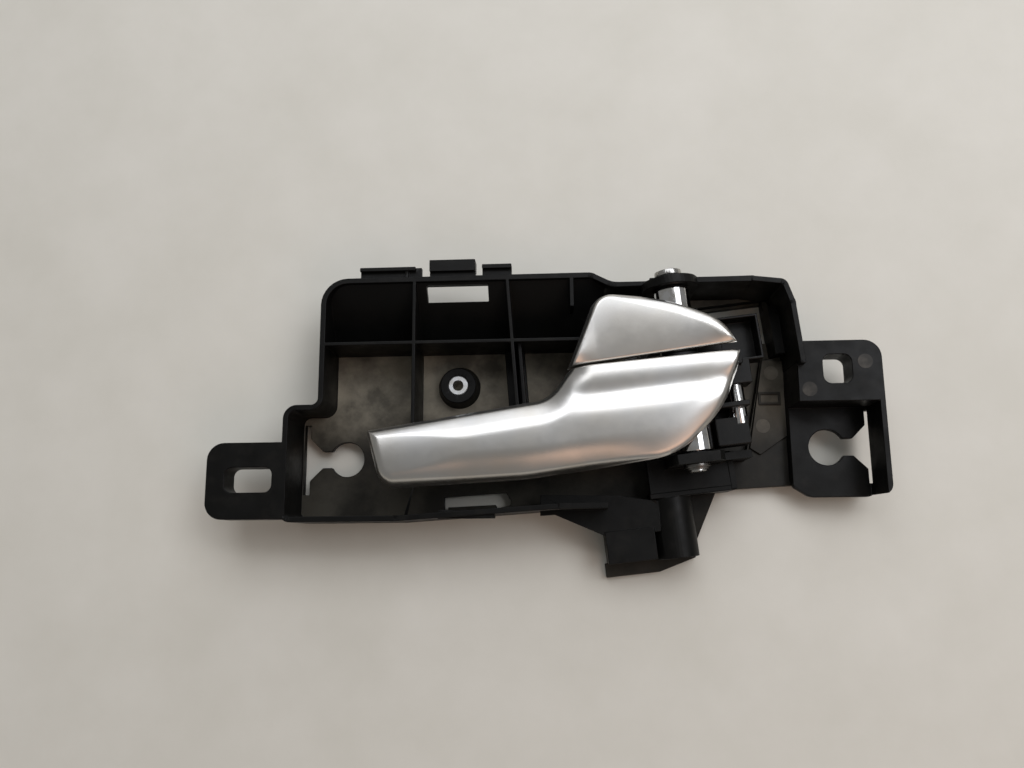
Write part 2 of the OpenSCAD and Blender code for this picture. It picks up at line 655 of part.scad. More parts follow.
// Crank of the pull lever: hub, two walls round the spring, plate under the grip and two cheeks
module pull_crank() color(black) in_pivot_frame() difference() {
    union() {
        rod(0, 0, hub_r, pull_hub[0], pull_hub[1] + 0.5);
        rod(0, 0, barrel_r, pull_knuckle[0], pull_knuckle[1]);
        for (y = [pull_hub[1], pull_knuckle[0]])
            box([-13, y, -8.6], [cable_arm + 2.4, y + crank_wall, plate_z[1]]);
        box([-13, pull_hub[1], -10], [cable_arm + 2.4, pull_knuckle[0] + crank_wall, -8.6]);
        box([-31, pull_hub[1] - 3, plate_z[0]], [-5.8, pull_knuckle[0] + crank_wall, plate_z[1]]);
        box([7, -19.4, -8.6], [16.4, cheek_y, -1]);
        box([8, cheek_y - e, -8.6], [15.4, pull_hub[1] + e, -7]);
        box([11, -2.2, -8.6], [19.4, pull_knuckle[0] + crank_wall, -0.6]);
    }
    rod(0, 0, pin_r + pin_gap, pull_hub[0] - 1, pull_knuckle[1] + 1);
    rod(cable_arm, cable_pin_z, cable_pin_r, cheek_y - 2, 0);
    for (p = grip_screw_at) translate([p[0], p[1], plate_z[0] - 1]) cylinder(r = screw_r + 0.1, h = 4);
}

// Crank of the lock lever: hub, plate under the cover and the tray over the floor window
module lock_crank() color(black) in_pivot_frame() difference() {
    union() {
        rod(0, 0, hub_r, lock_hub[0], lock_hub[1]);
        rod(0, 0, barrel_r, lock_hub[0], lock_barrel_y[0] - 0.1);
        box([-23, lock_hub[0] + 3, plate_z[0]], [-3, lock_barrel_y[0] + 2.4, plate_z[1]]);
        box([0, lock_hub[0], -6], [tray_x[0] + e, lock_barrel_y[0] - 0.1, -2]);
        box([tray_x[0], tray_y[0], tray_lock_z[0]], [tray_x[1], tray_y[1], tray_lock_z[1]]);
    }
    rod(0, 0, pin_r + pin_gap, lock_hub[0] - 1, lock_hub[1] + 1);
    box([tray_x[0] + tray_wall, tray_y[0] + tray_wall, tray_lock_z[0] + 1], [tray_x[1] - tray_wall, tray_y[1] - tray_wall, 0]);
    for (p = lock_screw_at) translate([p[0], p[1], plate_z[0] - 1]) cylinder(r = screw_r + 0.1, h = 4);
}

module pull_barrel() color(chrome) in_pivot_frame() sleeve(barrel_r, hub_r, pull_barrel_y);

module lock_barrel() color(chrome) in_pivot_frame() sleeve(barrel_r, hub_r, lock_barrel_y);

module pivot_pin() color(steel) in_pivot_frame() {
    rod(0, 0, pin_r, lower_ear[0] - 2.2, head_y + e);
    rod(0, 0, pin_r + 1.4, head_y, head_y + 1.6);
}

module pin_retainer() color(steel) in_pivot_frame() difference() {
    union() {
        rod(0, 0, 3.7, lower_ear[0] - 1, lower_ear[0]);
        rod(0, 0, 3.1, lower_ear[0] - 1.6, lower_ear[0] - 1 + e);
    }
    rod(0, 0, pin_r, lower_ear[0] - 3, lower_ear[0] + 1);
}

module ear_bushes() color(nylon) in_pivot_frame() {
    difference() {
        union() {
            rod(0, 0, bush_r, upper_ear[0], head_y);
            rod(0, 0, bush_r + 1, upper_ear[0] - bush_flange, upper_ear[0]);
        }
        rod(0, 0, pin_r, upper_ear[0] - 2, head_y + 1);
    }
    difference() {
        union() {
            rod(0, 0, bush_r, lower_ear[0], lower_ear[1]);
            rod(0, 0, bush_r + 1, lower_ear[1], lower_ear[1] + bush_flange);
        }
        rod(0, 0, pin_r, lower_ear[0] - 2, lower_ear[1] + 2);
    }
}

module hub_washer() color(nylon) in_pivot_frame() sleeve(barrel_r, pin_r, washer_y);

module spring_sleeve() color(nylon) in_pivot_frame() sleeve(pin_r + 0.8, pin_r, [pull_hub[1] + crank_wall + 0.2, pull_knuckle[0] - 0.2]);

// Return spring: a coil round the sleeve with two short legs
module pull_spring() color(steel) in_pivot_frame() {
    coil_r = pin_r + 0.8 + spring_wire_r + 0.5;
    steps = 20;
    sides = 8;
    n = spring_turns * steps;
    pitch = (spring_y[1] - spring_y[0] - 2 * spring_wire_r) / spring_turns;
    points = [for (i = [0:n], k = [0:sides - 1]) let (
        a = 360 * i / steps, w = 360 * k / sides, r = coil_r + spring_wire_r * cos(w))
        [r * cos(a), spring_y[0] + spring_wire_r + pitch * i / steps + spring_wire_r * sin(w), r * sin(a)]];
    skin = [for (i = [0:n - 1], k = [0:sides - 1]) let (
        a = i * sides + k, b = i * sides + (k + 1) % sides) [a, a + sides, b + sides, b]];
    ends = [[for (k = [0:sides - 1]) k], [for (k = [sides - 1:-1:0]) n * sides + k]];
    polyhedron(points, concat(skin, ends));
}

module cable_pin() color(chrome) in_pivot_frame() rod(cable_arm, cable_pin_z, cable_pin_r, cheek_y - 2, 0);

// Screws from below the plate up into the lever shells
module lever_screws(places) in_pivot_frame() for (p = places) translate([p[0], p[1], 0]) {
    translate([0, 0, plate_z[0] - head_t]) cylinder(r = 2.3, h = head_t);
    translate([0, 0, plate_z[0] - e]) cylinder(r = screw_r, h = boss_len);
}

module grip_screws() color(steel) lever_screws(grip_screw_at);

module lock_screw() color(steel) lever_screws(lock_screw_at);

// Spring blade that bears on the lock crank's hub
module lock_detent() color(steel) in_pivot_frame() difference() {
    union() {
        box([rivet_at[0] - 2.4, rivet_at[1] - 2.4, floor_z - pivot_z], [-8.6, rivet_at[1] + 2.4, floor_z - pivot_z + 0.6]);
        box([-9.2, rivet_at[1] - 2.4, floor_z - pivot_z], [-8.6, rivet_at[1] + 2.4, -1]);
        box([-8.7, rivet_at[1] - 2.4, -1.6], [-barrel_r - 0.3, rivet_at[1] + 2.4, -1]);
    }
    translate([rivet_at[0], rivet_at[1], floor_z - pivot_z - 1]) cylinder(r = rivet_r, h = 3);
}

module detent_rivet() color(steel) in_pivot_frame() {
    translate([rivet_at[0], rivet_at[1], floor_z - floor_t - pivot_z - 0.5]) cylinder(r = rivet_r, h = floor_t + 1.2);
    translate([rivet_at[0], rivet_at[1], floor_z - pivot_z + 0.6]) cylinder(r = 2, h = 0.9);
}

// Rubber stop with a stem in its pillar
module buffer(place) in_pivot_frame() translate([place[0], place[1], 0]) {
    translate([0, 0, pillar_z - pivot_z]) cylinder(r = buffer_r, h = plate_z[0] - 0.2 - pillar_z + pivot_z);
    translate([0, 0, pillar_z - pivot_z - stem_len]) cylinder(r = stem_r, h = stem_len + e);
}

module grip_buffer() color(rubber) buffer(grip_buffer_at);

module lock_buffer() color(rubber) buffer(lock_buffer_at);

carrier_frame();
threaded_insert();
pull_grip();
lock_cover();
pull_crank();
lock_crank();
pull_barrel();
lock_barrel();
pivot_pin();
pin_retainer();
ear_bushes();
hub_washer();
spring_sleeve();
pull_spring();
cable_pin();
grip_screws();
lock_screw();
lock_detent();
detent_rivet();
grip_buffer();
lock_buffer();
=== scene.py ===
"""Looks of a car interior door handle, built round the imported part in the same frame.

The part lies on its back on a pale table. Lengths are given in millimetres in the classes
below and turned to metres when a mesh is made.
"""
import logging
import math
from abc import ABC, abstractmethod
from dataclasses import dataclass, field
from enum import Enum
from typing import Any, ClassVar, Iterable

import bmesh
import bpy
import numpy as np
from mathutils import Matrix, Vector


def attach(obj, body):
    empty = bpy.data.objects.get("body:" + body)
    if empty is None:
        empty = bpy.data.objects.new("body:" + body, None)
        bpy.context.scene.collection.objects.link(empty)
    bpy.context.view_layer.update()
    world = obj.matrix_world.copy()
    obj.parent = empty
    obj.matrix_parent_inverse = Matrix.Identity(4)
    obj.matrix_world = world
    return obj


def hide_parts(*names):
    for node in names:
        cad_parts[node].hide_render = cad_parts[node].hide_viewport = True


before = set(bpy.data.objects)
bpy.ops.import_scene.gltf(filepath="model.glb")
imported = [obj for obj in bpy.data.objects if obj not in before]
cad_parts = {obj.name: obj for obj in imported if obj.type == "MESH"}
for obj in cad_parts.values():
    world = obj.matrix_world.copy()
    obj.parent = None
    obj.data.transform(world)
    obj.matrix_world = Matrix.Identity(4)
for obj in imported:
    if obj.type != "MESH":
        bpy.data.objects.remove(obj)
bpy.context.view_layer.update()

log = logging.getLogger("door_handle")

Tree = bpy.types.NodeTree
Node = bpy.types.Node
Socket = bpy.types.NodeSocket

MM = 0.001


class Body(Enum):
    """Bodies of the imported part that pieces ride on."""

    CARRIER = "carrier"
    PULL = "pull_lever"
    LOCK = "lock_lever"


def linear(hex_colour: str) -> tuple[float, float, float, float]:
    """Turns an sRGB hex colour to linear.

    Args:
        hex_colour: Six hex digits with a leading hash.

    Returns:
        The linear colour with an alpha of one.
    """
    digits = hex_colour.lstrip("#")
    channels = [int(digits[k:k + 2], 16) / 255 for k in (0, 2, 4)]
    lit = [c / 12.92 if c <= 0.04045 else ((c + 0.055) / 1.055) ** 2.4 for c in channels]
    return (lit[0], lit[1], lit[2], 1.0)


def add(tree: Tree, kind: str, values: dict[Any, Any] | None = None,
        links: dict[Any, Socket] | None = None, **settings: Any) -> Node:
    """Adds a node with its settings, socket values and incoming links.

    Args:
        tree: Node tree that gets the node.
        kind: Blender's name of the node type.
        values: Default values by input name or index.
        links: Source sockets by input name or index.
        **settings: Attributes of the node itself.

    Returns:
        The new node.
    """
    node = tree.nodes.new(kind)
    for name, value in settings.items():
        setattr(node, name, value)
    for name, value in (values or {}).items():
        node.inputs[name].default_value = value
    for name, source in (links or {}).items():
        tree.links.new(source, node.inputs[name])
    return node


class Finish(ABC):
    """A surface finish that makes one material, shared by every piece that wears it."""

    made: ClassVar[dict[str, bpy.types.Material]] = {}

    @property
    @abstractmethod
    def title(self) -> str:
        """Name of the material."""

    @abstractmethod
    def wire(self, tree: Tree, shader: Node, place: Socket) -> None:
        """Wires the material's pattern into its shader."""

    def material(self) -> bpy.types.Material:
        """Makes the material once and returns it."""
        if self.title not in Finish.made:
            material = bpy.data.materials.new(self.title)
            material.use_nodes = True
            tree = material.node_tree
            tree.nodes.clear()
            shader = add(tree, "ShaderNodeBsdfPrincipled")
            add(tree, "ShaderNodeOutputMaterial", links={"Surface": shader.outputs["BSDF"]})
            place = add(tree, "ShaderNodeTexCoord").outputs["Object"]
            self.wire(tree, shader, place)
            Finish.made[self.title] = material
        return Finish.made[self.title]


@dataclass(frozen=True)
class Mottle:
    """A mottled pattern: a noise of one feature size, stretched between two of its values.

    Attributes:
        size_mm: Size of the features.
        low: Noise value at which the pattern is at its least.
        high: Noise value at which the pattern is at its most.
        detail: Octaves of finer noise.
        falloff: Share that each finer octave keeps of the one before.
    """

    size_mm: float
    low: float = 0.0
    high: float = 1.0
    detail: float = 3.0
    falloff: float = 0.6

    def wire(self, tree: Tree, place: Socket, least: float = 0.0, most: float = 1.0) -> Socket:
        """Wires the pattern into a tree.

        Args:
            tree: Node tree that gets the pattern.
            place: Coordinates that the pattern lies in.
            least: Lower end of the result.
            most: Upper end of the result.

        Returns:
            The pattern's value.
        """
        noise = add(tree, "ShaderNodeTexNoise",
                    {"Scale": 1 / MM / self.size_mm, "Detail": self.detail, "Roughness": self.falloff},
                    {"Vector": place})
        return add(tree, "ShaderNodeMapRange",
                   {"From Min": self.low, "From Max": self.high, "To Min": least, "To Max": most},
                   {"Value": noise.outputs["Fac"]}, clamp=True).outputs["Result"]


@dataclass(frozen=True)
class MouldedNylon(Finish):
    """Black glass-filled nylon, injection moulded against a spark-eroded tool.

    Warm grey dust, with a painted sheen of light on the glossy floors, lies in patches on the low
    floors.
    It is thinner towards the right end, and is thinned towards the lower wall as painted shade under
    the lever. Faint finger grime lies on every face that looks up, and the walls stay black.

    Attributes:
        title: Name of the material.
        black: Bare moulding.
        grime: Moulding that fingers have touched.
        dust_and_sheen: Colour of settled dust and of a painted sheen of light on the floors.
        flat: Upward part of the normal where dust with its painted sheen and grime begin, and where they
            are full.
        floor_mm: Height of the low floors.
        over_floor_mm: Heights over the floor where the dust and painted sheen end, and up to which they
            are full.
        lower_shade_mm: Places along y where the painted shade under the lever is deepest, and from which
            the dust and sheen are full.
        lower_shade_share: Share of the dust and sheen that the painted shade leaves at the lower wall.
        right_mm: Places along x up to which the dust and painted sheen are full, and where they are
            thinnest.
        right_share: Share of the dust and painted sheen that is left at the right end.
        dust_and_sheen_patches: Patches of the dust and painted sheen.
        dust_and_sheen_gap_share: Share of the dust and painted sheen that is left between its patches.
        fingers: Patches of the grime.
        gloss: Patches of the roughness.
        roughness: Least and greatest roughness.
        grain: The tool's eroded grain.
        grain_strength: Strength of the grain's bump.
        grain_depth_mm: Depth of the grain.
        specular: Specular level.
    """

    title: str = "glass_filled_nylon_moulded"
    black: str = "#0a0a09"
    grime: str = "#151412"
    dust_and_sheen: str = "#857e70"
    flat: tuple[float, float] = (0.8, 0.98)
    floor_mm: float = -4.8
    over_floor_mm: tuple[float, float] = (1.4, 0.9)
    lower_shade_mm: tuple[float, float] = (-20.0, -6.0)
    lower_shade_share: float = 0.15
    right_mm: tuple[float, float] = (50.0, 80.0)
    right_share: float = 0.4
    dust_and_sheen_patches: Mottle = Mottle(16.0, low=0.40, high=0.62, detail=6.0)
    dust_and_sheen_gap_share: float = 0.35
    fingers: Mottle = Mottle(5.0, low=0.5, high=0.75, detail=5.0)
    gloss: Mottle = Mottle(7.0, low=0.35, high=0.65, detail=5.0)
    roughness: tuple[float, float] = (0.36, 0.52)
    grain: Mottle = Mottle(0.7, detail=2.0)
    grain_strength: float = 0.35
    grain_depth_mm: float = 0.04
    specular: float = 0.14

    def wire(self, tree: Tree, shader: Node, place: Socket) -> None:
        """Wires grain, dust with its painted sheen, painted shade and grime into the shader."""
        normal = add(tree, "ShaderNodeNewGeometry").outputs["Normal"]
        upward = add(tree, "ShaderNodeSeparateXYZ", links={"Vector": normal}).outputs["Z"]
        axes = add(tree, "ShaderNodeSeparateXYZ", links={"Vector": place}).outputs
        flat = add(tree, "ShaderNodeMapRange", {"From Min": self.flat[0], "From Max": self.flat[1]},
                   {"Value": upward}, clamp=True).outputs["Result"]
        handled = add(tree, "ShaderNodeMath", links={0: flat, 1: self.fingers.wire(tree, place)},
                      operation="MULTIPLY")
        # The pale floor colour is settled dust together with a painted sheen of light on the floors.
        dust_and_sheen_share = add(tree, "ShaderNodeMath", operation="MULTIPLY",
                      links={0: flat, 1: self.dust_and_sheen_patches.wire(tree, place, self.dust_and_sheen_gap_share)})
        over_floor = [self.floor_mm + height for height in self.over_floor_mm]
        # Thins the pale colour away from the floor height, towards the lower wall as painted shade under
        # the lever, and towards the right end.
        for axis, (start, stop), least, most in (("Z", over_floor, 0.0, 1.0),
                                                 ("Y", self.lower_shade_mm, self.lower_shade_share, 1.0),
                                                 ("X", self.right_mm, 1.0, self.right_share)):
            share = add(tree, "ShaderNodeMapRange",
                        {"From Min": start * MM, "From Max": stop * MM, "To Min": least, "To Max": most},
                        {"Value": axes[axis]}, clamp=True)
            dust_and_sheen_share = add(tree, "ShaderNodeMath", operation="MULTIPLY",
                          links={0: dust_and_sheen_share.outputs[0], 1: share.outputs["Result"]})
        grimy = add(tree, "ShaderNodeMix", {6: linear(self.black), 7: linear(self.grime)},
                    {0: handled.outputs[0]}, data_type="RGBA")
        with_dust_and_sheen = add(tree, "ShaderNodeMix", {7: linear(self.dust_and_sheen)},
                    {0: dust_and_sheen_share.outputs[0], 6: grimy.outputs[2]}, data_type="RGBA")
        tree.links.new(with_dust_and_sheen.outputs[2], shader.inputs["Base Color"])
        tree.links.new(self.gloss.wire(tree, place, *self.roughness), shader.inputs["Roughness"])
        bump = add(tree, "ShaderNodeBump",
                   {"Strength": self.grain_strength, "Distance": self.grain_depth_mm * MM},
                   {"Height": self.grain.wire(tree, place)})
        tree.links.new(bump.outputs["Normal"], shader.inputs["Normal"])
        shader.inputs["Specular IOR Level"].default_value = self.specular


@dataclass(frozen=True)
class SatinSilver(Finish):
    """Satin silver plating on a moulded lever, blasted to an even silk with faint clouding.

    Attributes:
        title: Name of the material.
        cool: Colour of the plating.
        warm: Colour of its clouds.
        clouds: Patches of the warm colour.
        silk: Patches of the roughness.
        roughness: Least and greatest roughness.
        grain: The blasted grain.
        grain_strength: Strength of the grain's bump.
        grain_depth_mm: Depth of the grain.
    """

    title: str = "satin_silver_plating"
    cool: str = "#cbcbca"
    warm: str = "#c6c3bd"
    clouds: Mottle = Mottle(24.0, low=0.35, high=0.65)
    silk: Mottle = Mottle(3.0, low=0.3, high=0.7, detail=5.0)
    roughness: tuple[float, float] = (0.298, 0.33)
    grain: Mottle = Mottle(0.6, detail=1.0)
    grain_strength: float = 0.05
    grain_depth_mm: float = 0.02

    def wire(self, tree: Tree, shader: Node, place: Socket) -> None:
        """Wires the plating's clouds, silk and fine blasting into the shader."""
        clouded = add(tree, "ShaderNodeMix", {6: linear(self.cool), 7: linear(self.warm)},
                      {0: self.clouds.wire(tree, place)}, data_type="RGBA")
        tree.links.new(clouded.outputs[2], shader.inputs["Base Color"])
        tree.links.new(self.silk.wire(tree, place, *self.roughness), shader.inputs["Roughness"])
        bump = add(tree, "ShaderNodeBump",
                   {"Strength": self.grain_strength, "Distance": self.grain_depth_mm * MM},
                   {"Height": self.grain.wire(tree, place)})
        tree.links.new(bump.outputs["Normal"], shader.inputs["Normal"])
        shader.inputs["Metallic"].default_value = 1.0


@dataclass(frozen=True)
class Metal(Finish):
    """A bare or plated metal part, with its polish and a faint unevenness of its shine.

    Attributes:
        title: Name of the material.
        colour: Colour of the metal.
        stain: Colour of its stains.
        stains: Patches of the stain.
        polish: Patches of the roughness.
        roughness: Least roughness.
        spread: What the roughness may be more than that.
    """

    title: str = "polished_chrome"
    colour: str = "#dadbdd"
    stain: str = "#b9b5ad"
    stains: Mottle = Mottle(2.5, low=0.4, high=0.75, detail=4.0)
    polish: Mottle = Mottle(1.2, low=0.3, high=0.7)
    roughness: float = 0.08
    spread: float = 0.06

    def wire(self, tree: Tree, shader: Node, place: Socket) -> None:
        """Wires the mottled colour and shine into the shader."""
        stained = add(tree, "ShaderNodeMix", {6: linear(self.colour), 7: linear(self.stain)},
                      {0: self.stains.wire(tree, place)}, data_type="RGBA")
        tree.links.new(stained.outputs[2], shader.inputs["Base Color"])
        tree.links.new(self.polish.wire(tree, place, self.roughness, self.roughness + self.spread),
                       shader.inputs["Roughness"])
        shader.inputs["Metallic"].default_value = 1.0


@dataclass(frozen=True)
class Polymer(Finish):
    """A plain moulded polymer or rubber part, with its own grain and gloss.

    Attributes:
        title: Name of the material.
        colour: Colour of the polymer.
        worn: Colour where it is worn.
        wear: Patches of the wear.
        gloss: Patches of the roughness.
        roughness: Least roughness.
        spread: What the roughness may be more than that.
        grain: Grain of the moulding.
        grain_strength: Strength of the grain's bump.
        grain_depth_mm: Depth of the grain.
        ior: Index of refraction.
        specular: Specular level.
    """

    title: str = "acetal_moulded"
    colour: str = "#0b0b0a"
    worn: str = "#171614"
    wear: Mottle = Mottle(4.0, low=0.45, high=0.75, detail=5.0)
    gloss: Mottle = Mottle(3.0, low=0.3, high=0.7)
    roughness: float = 0.33
    spread: float = 0.12
    grain: Mottle = Mottle(0.8, detail=2.0)
    grain_strength: float = 0.3
    grain_depth_mm: float = 0.03
    ior: float = 1.48
    specular: float = 0.18

    def wire(self, tree: Tree, shader: Node, place: Socket) -> None:
        """Wires wear, gloss and grain into the shader."""
        worn = add(tree, "ShaderNodeMix", {6: linear(self.colour), 7: linear(self.worn)},
                   {0: self.wear.wire(tree, place)}, data_type="RGBA")
        tree.links.new(worn.outputs[2], shader.inputs["Base Color"])
        tree.links.new(self.gloss.wire(tree, place, self.roughness, self.roughness + self.spread),
                       shader.inputs["Roughness"])
        bump = add(tree, "ShaderNodeBump",
                   {"Strength": self.grain_strength, "Distance": self.grain_depth_mm * MM},
                   {"Height": self.grain.wire(tree, place)})
        tree.links.new(bump.outputs["Normal"], shader.inputs["Normal"])
        shader.inputs["IOR"].default_value = self.ior
        shader.inputs["Specular IOR Level"].default_value = self.specular


@dataclass(frozen=True)
class PaleTable(Finish):
    """Off-white painted table top, plain and matt with the faintest mottling.

    Attributes:
        title: Name of the material.
        light: Colour of the paint.
        dull: Colour of its duller patches.
        patches: Patches of the duller colour.
        roughness: Roughness of the paint.
    """

    title: str = "painted_table_top"
    light: str = "#cfccc3"
    dull: str = "#c8c5bb"
    patches: Mottle = Mottle(30.0, low=0.3, high=0.7, detail=6.0)
    roughness: float = 0.62

    def wire(self, tree: Tree, shader: Node, place: Socket) -> None:
        """Wires the mottling into the shader."""
        paint = add(tree, "ShaderNodeMix", {6: linear(self.light), 7: linear(self.dull)},
                    {0: self.patches.wire(tree, place)}, data_type="RGBA")
        tree.links.new(paint.outputs[2], shader.inputs["Base Color"])
        shader.inputs["Roughness"].default_value = self.roughness


NYLON = MouldedNylon()
EJECTED = MouldedNylon(title="nylon_over_ejector_pin", black="#2b2926", grime="#4b4741", dust_and_sheen="#978f80")
SILVER = SatinSilver()
ACETAL = Polymer()
BUSH = Polymer(title="nylon_bush", colour="#1d1d1e", worn="#343436", roughness=0.42)
RUBBER = Polymer(title="stop_rubber", colour="#121212", worn="#1c1c1c", roughness=0.75,
                 grain=Mottle(0.9, detail=2.0), grain_depth_mm=0.05)
CHROME = Metal()
INSERT = Metal(title="zinc_plated_insert", colour="#d2d4d6", stain="#a9a69d", roughness=0.42)
PIN_STEEL = Metal(title="drawn_pin_steel", colour="#b4b3b0", stain="#8d8a84", roughness=0.24)
SPRING_STEEL = Metal(title="oiled_spring_steel", colour="#7d7c7a", stain="#5a5651", roughness=0.3)
SCREW_STEEL = Metal(title="zinc_plated_screw", colour="#b9bbbd", stain="#96938c", roughness=0.26)


def place_on(piece: bpy.types.Object, finish: Finish, body: Body) -> bpy.types.Object:
    """Gives a piece its finish and lets it ride on its body.

    Args:
        piece: Finished object, in place at the origin.
        finish: Finish for all its faces.
        body: Body that carries it.

    Returns:
        The same piece.
    """
    piece.data.materials.clear()
    piece.data.materials.append(finish.material())
    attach(piece, body.value)
    return piece


def new_object(name: str, mesh: bpy.types.Mesh) -> bpy.types.Object:
    """Links a new object for a mesh into the scene."""
    piece = bpy.data.objects.new(name, mesh)
    bpy.context.scene.collection.objects.link(piece)
    return piece


def applied(piece: bpy.types.Object) -> bpy.types.Object:
    """Turns a piece's modifiers into its mesh.

    Args:
        piece: Object with live modifiers.

    Returns:
        The same object, with a plain mesh and no modifiers.
    """
    graph = bpy.context.evaluated_depsgraph_get()
    graph.update()
    mesh = bpy.data.meshes.new_from_object(piece.evaluated_get(graph))
    piece.modifiers.clear()
    piece.data = mesh
    return piece


def smooth_by_angle(mesh: bpy.types.Mesh, degrees: float) -> None:
    """Shades a mesh smooth, with sharp edges where its faces meet at more than an angle."""
    for polygon in mesh.polygons:
        polygon.use_smooth = True
    mesh.set_sharp_from_angle(angle=math.radians(degrees))


@dataclass
class RefinedSolid:
    """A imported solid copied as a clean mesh, with its edges broken as a tool breaks them.

    Attributes:
        node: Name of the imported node.
        body: Body that carries it.
        finish: Its finish.
        edge_mm: Width of the broken edges.
        segments: Faces across a broken edge.
        sharp_deg: Angle between two faces from which their edge is broken.
        smooth_deg: Angle up to which faces are shaded as one.
        shortest_mm: Length above which an edge is broken.
        merge_mm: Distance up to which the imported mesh's points are one.
        flat_weight: How strongly the large faces rule the normals, out of a hundred.
    """

    node: str
    body: Body
    finish: Finish
    edge_mm: float = 0.25
    segments: int = 2
    sharp_deg: float = 32.0
    smooth_deg: float = 35.0
    shortest_mm: float = 0.34
    merge_mm: float = 0.004
    flat_weight: int = 90

    def clean_copy(self) -> bpy.types.Object:
        """Copies the node's mesh with its points joined, and weights the edges to break."""
        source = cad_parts[self.node]
        mesh = bpy.data.meshes.new(self.node + "_refined")
        shape = bmesh.new()
        shape.from_mesh(source.data)
        bmesh.ops.transform(shape, matrix=source.matrix_world, verts=shape.verts)
        bmesh.ops.remove_doubles(shape, verts=shape.verts, dist=self.merge_mm * MM)
        weight = shape.edges.layers.float.new("bevel_weight_edge")
        for edge in shape.edges:
            sharp = edge.is_manifold and edge.calc_face_angle() > math.radians(self.sharp_deg)
            edge[weight] = float(sharp and edge.calc_length() > self.shortest_mm * MM)
        shape.to_mesh(mesh)
        shape.free()
        return new_object(self.node + "_refined", mesh)

    def build(self) -> bpy.types.Object:
        """Builds the piece inside the node's box, dresses it and puts it in the node's place."""
        piece = self.clean_copy()
        points = np.array([vertex.co for vertex in piece.data.vertices])
        low, high = points.min(axis=0), points.max(axis=0)
        smooth_by_angle(piece.data, self.smooth_deg)
        bevel = piece.modifiers.new("edge", "BEVEL")
        bevel.width = self.edge_mm * MM
        bevel.segments = self.segments
        bevel.limit_method = "WEIGHT"
        bevel.use_clamp_overlap = False
        bevel.face_strength_mode = "FSTR_ALL"
        flats = piece.modifiers.new("flats", "WEIGHTED_NORMAL")
        flats.mode = "FACE_AREA"
        flats.weight = self.flat_weight
        flats.keep_sharp = True
        flats.use_face_influence = True
        applied(piece)
        for vertex in piece.data.vertices:
            vertex.co = np.clip(vertex.co, low, high)
        place_on(piece, self.finish, self.body)
        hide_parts(self.node)
        return piece


@dataclass
class PivotFrame:
    """Frame of the pivot pin: x to the right of the pin, y along it, z above its middle."""

    x_mm: float = 66.6
    y_mm: float = -2.5
    z_mm: float = 12.0
    turn_deg: float = 6.0

    def matrix(self) -> Matrix:
        """Matrix from this frame in millimetres to the part's frame in metres."""
        move = Matrix.Translation(Vector((self.x_mm, self.y_mm, self.z_mm)))
        return Matrix.Scale(MM, 4) @ move @ Matrix.Rotation(math.radians(self.turn_deg), 4, "Z")


PIVOT = PivotFrame()


def rounded(points: list[tuple[float, float]], radii: list[float], steps: int) -> np.ndarray:
    """Rounds the corners of an outline.

    Args:
        points: Corners, listed anticlockwise.
        radii: Radius at each corner, zero where it stays sharp.
        steps: Chords in each round.

    Returns:
        The outline's points in order.
    """
    chain: list[np.ndarray] = []
    count = len(points)
    for k, radius in enumerate(radii):
        here = np.array(points[k])
        if radius == 0:
            chain.append(here)
            continue
        back = np.array(points[k - 1]) - here
        ahead = np.array(points[(k + 1) % count]) - here
        back /= np.linalg.norm(back)
        ahead /= np.linalg.norm(ahead)
        half = math.acos(float(back @ ahead)) / 2
        middle = here + (back + ahead) / np.linalg.norm(back + ahead) * radius / math.sin(half)
        start = here + back * radius / math.tan(half) - middle
        finish = here + ahead * radius / math.tan(half) - middle
        first = math.atan2(start[1], start[0])
        sweep = (math.atan2(finish[1], finish[0]) - first + math.pi) % (2 * math.pi) - math.pi
        for step in range(steps + 1):
            angle = first + sweep * step / steps
            chain.append(middle + radius * np.array([math.cos(angle), math.sin(angle)]))
    return np.array(chain)


def inset(points: list[tuple[float, float]], distance: float) -> list[tuple[float, float]]:
    """Moves an anticlockwise outline inwards by a distance."""
    moved = []
    count = len(points)
    for k in range(count):
        before, here, after = (np.array(points[j % count], float) for j in (k - 1, k, k + 1))
        u = (here - before) / np.linalg.norm(here - before)
        v = (after - here) / np.linalg.norm(after - here)
        a, b = np.array([-u[1], u[0]]), np.array([-v[1], v[0]])
        moved.append(tuple(here + (a + b) * distance / (1 + a @ b)))
    return moved


def ease(value: np.ndarray | float) -> np.ndarray:
    """Smooth step from zero to one."""
    t = np.clip(value, 0, 1)
    return t * t * (3 - 2 * t)


def quarter(value: np.ndarray | float) -> np.ndarray:
    """Quarter round from zero to one."""
    t = np.clip(value, 0, 1)
    return np.sqrt(1 - (1 - t) ** 2)


def reach(chain: np.ndarray, x: np.ndarray, y: np.ndarray) -> np.ndarray:
    """Distance of points from an open chain of straight pieces, which may name a point twice."""
    best = np.full(x.shape, np.inf)
    for start, stop in zip(chain[:-1], chain[1:]):
        along = stop - start
        length_squared = float(along @ along)
        if math.isclose(length_squared, 0, abs_tol=1e-12):
            continue
        share = ((x - start[0]) * along[0] + (y - start[1]) * along[1]) / length_squared
        t = np.clip(share, 0, 1)
        best = np.minimum(best, np.hypot(x - start[0] - t * along[0], y - start[1] - t * along[1]))
    return best


def span(chain: np.ndarray, x: float) -> tuple[float, float]:
    """Lowest and highest crossing of a closed outline with a line at x."""
    ys = []
    for start, stop in zip(chain, np.roll(chain, -1, axis=0)):
        if (start[0] - x) * (stop[0] - x) <= 0 and start[0] != stop[0]:
            ys.append(start[1] + (stop[1] - start[1]) * (x - start[0]) / (stop[0] - start[0]))
    return min(ys), max(ys)


